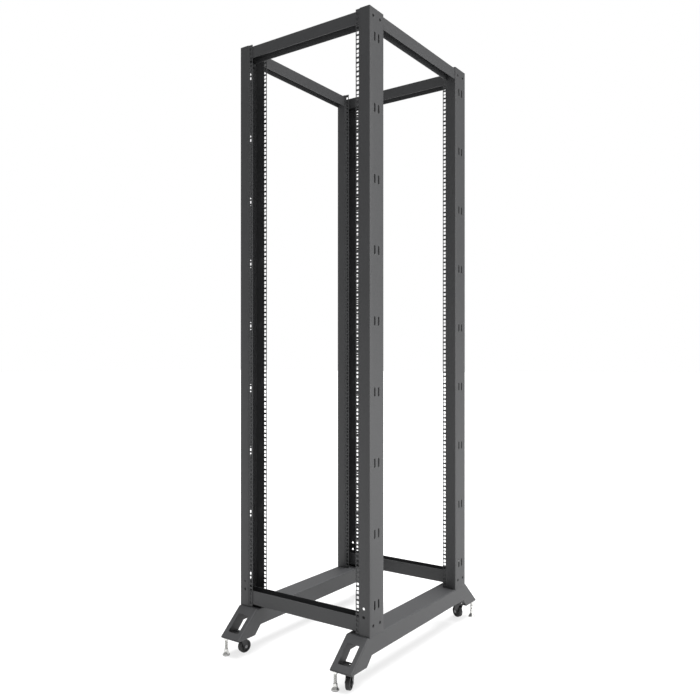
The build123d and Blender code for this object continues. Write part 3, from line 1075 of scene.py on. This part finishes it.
class RACK_OT_levellers(bpy.types.Operator):
    """Make the four levelling feet with their threads and pads"""

    bl_idname = "rack.levellers"
    bl_label = "Levelling Feet"

    def execute(self, context):
        sizes = context.scene.rack_running
        for corner in CORNERS:
            low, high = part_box(f"levelling_foot_{corner}")
            middle = (low + high) / 2
            radius = (high.x - low.x) / 2
            place = Matrix.Translation((middle.x, middle.y, low.z))
            body = f"leveller_{corner}"
            foot = levelling_foot_builder(sizes, radius, high.z - low.z)
            foot.transform(place)
            name = f"levelling_foot_{corner}_threaded"
            mesh = mesh_from(foot, name)
            finish_mesh(mesh, 30.0)
            add_piece(name, mesh, body, "zinc", [f"levelling_foot_{corner}"])
            pad = levelling_pad_builder(sizes, radius)
            pad.transform(place)
            name = f"levelling_pad_{corner}"
            mesh = mesh_from(pad, name)
            finish_mesh(mesh)
            add_piece(name, mesh, body, "wheel_black")
        return {"FINISHED"}


class RACK_OT_finishes(bpy.types.Operator):
    """Give every CAD node the finish of its slot, but the caster axles oiled steel"""

    bl_idname = "rack.finishes"
    bl_label = "Finishes"

    def execute(self, context):
        slots = {part["node"]: part["material_slot"] for part in frame["record"]["subparts"]}
        for name, node in frame["nodes"].items():
            node.data.materials.clear()
            finish = "axle" if name.startswith("caster_axle_") else slots[name]
            node.data.materials.append(material_for(finish))
        return {"FINISHED"}


# The studio
def white_world(strength):
    """A world that the camera sees as white and that lights the scene from all round."""
    world = bpy.data.worlds.new("soft_white")
    world.use_nodes = True
    tree = world.node_tree
    sky = tree.nodes["Background"]
    sky.inputs["Color"].default_value = (1, 1, 1, 1)
    path = tree.nodes.new("ShaderNodeLightPath")
    spread = tree.nodes.new("ShaderNodeMapRange")
    spread.inputs["To Min"].default_value = strength
    spread.inputs["To Max"].default_value = 1.0
    tree.links.new(path.outputs["Is Camera Ray"], spread.inputs["Value"])
    tree.links.new(spread.outputs["Result"], sky.inputs["Strength"])
    return world


def add_light(name, data, place, back):
    """A light at a place, with its back turned in a direction."""
    light = bpy.data.objects.new(name, data)
    light.location = place
    light.rotation_euler = Vector(back).to_track_quat("Z", "Y").to_euler()
    bpy.context.scene.collection.objects.link(light)
    return light


class RACK_OT_studio(bpy.types.Operator):
    """Make the floor, the soft light and the camera"""

    bl_idname = "rack.studio"
    bl_label = "Studio"

    def execute(self, context):
        studio = context.scene.rack_studio
        builder = bmesh.new()
        bmesh.ops.create_grid(builder, x_segments=1, y_segments=1, size=studio.floor_size / 2)
        floor = new_object("studio_floor", mesh_from(builder, "studio_floor"))
        floor.data.materials.append(floor_paper(studio.paper_glow))
        context.scene.world = white_world(studio.ambient)
        context.scene.view_settings.view_transform = "Standard"
        sun = bpy.data.lights.new("overhead_light", "SUN")
        sun.energy = studio.overhead
        sun.angle = studio.overhead_angle
        add_light("overhead_light", sun, (0, 0, 4), OVERHEAD_DIRECTION)
        box = bpy.data.lights.new("side_box", "AREA")
        box.shape = "RECTANGLE"
        box.size, box.size_y = BOX_SIZE
        box.energy = studio.box_power
        add_light("side_box", box, BOX_PLACE, Vector(BOX_PLACE) - Vector(BOX_TARGET))
        data = bpy.data.cameras.new("photo_camera")
        data.lens = FOCAL_LENGTH
        data.sensor_width = SENSOR_WIDTH
        data.shift_y = HORIZON_SHIFT
        camera = bpy.data.objects.new("photo_camera", data)
        camera.location = CAMERA_PLACE
        camera.rotation_euler = (math.radians(90), 0, math.radians(CAMERA_HEADING))
        context.scene.collection.objects.link(camera)
        context.scene.camera = camera
        return {"FINISHED"}


class RACK_PT_sidebar(bpy.types.Panel):
    """Rack sizes, finishes and operators"""

    bl_idname = "RACK_PT_sidebar"
    bl_label = "Open Frame Rack"
    bl_space_type = "VIEW_3D"
    bl_region_type = "UI"
    bl_category = "Rack"

    def draw(self, context):
        layout = self.layout
        for group_name in GROUPS:
            group = getattr(context.scene, group_name)
            box = layout.box()
            for name in group.bl_rna.properties.keys():
                if name not in ("rna_type", "name"):
                    box.prop(group, name)
        for operator in OPERATORS:
            layout.operator(operator.bl_idname)


OPERATORS = (
    RACK_OT_studio, RACK_OT_finishes, RACK_OT_posts, RACK_OT_screws,
    RACK_OT_rivets, RACK_OT_welds, RACK_OT_wheels, RACK_OT_levellers,
)
GROUPS = {
    "rack_sheet": RackSheetSizes,
    "rack_fasteners": RackFastenerSizes,
    "rack_running": RackRunningSizes,
    "rack_finish": RackFinishColours,
    "rack_studio": RackStudio,
}
CLASSES = (*GROUPS.values(), *OPERATORS, RACK_PT_sidebar)


def register():
    for cls in CLASSES:
        bpy.utils.register_class(cls)
    for name, group in GROUPS.items():
        setattr(bpy.types.Scene, name, bpy.props.PointerProperty(type=group))


def unregister():
    for name in GROUPS:
        delattr(bpy.types.Scene, name)
    for cls in reversed(CLASSES):
        bpy.utils.unregister_class(cls)


def main():
    register()
    bpy.ops.rack.studio()
    bpy.ops.rack.finishes()
    bpy.ops.rack.posts()
    bpy.ops.rack.screws()
    bpy.ops.rack.rivets()
    bpy.ops.rack.welds()
    bpy.ops.rack.wheels()
    bpy.ops.rack.levellers()


if __name__ == "__main__":
    main()
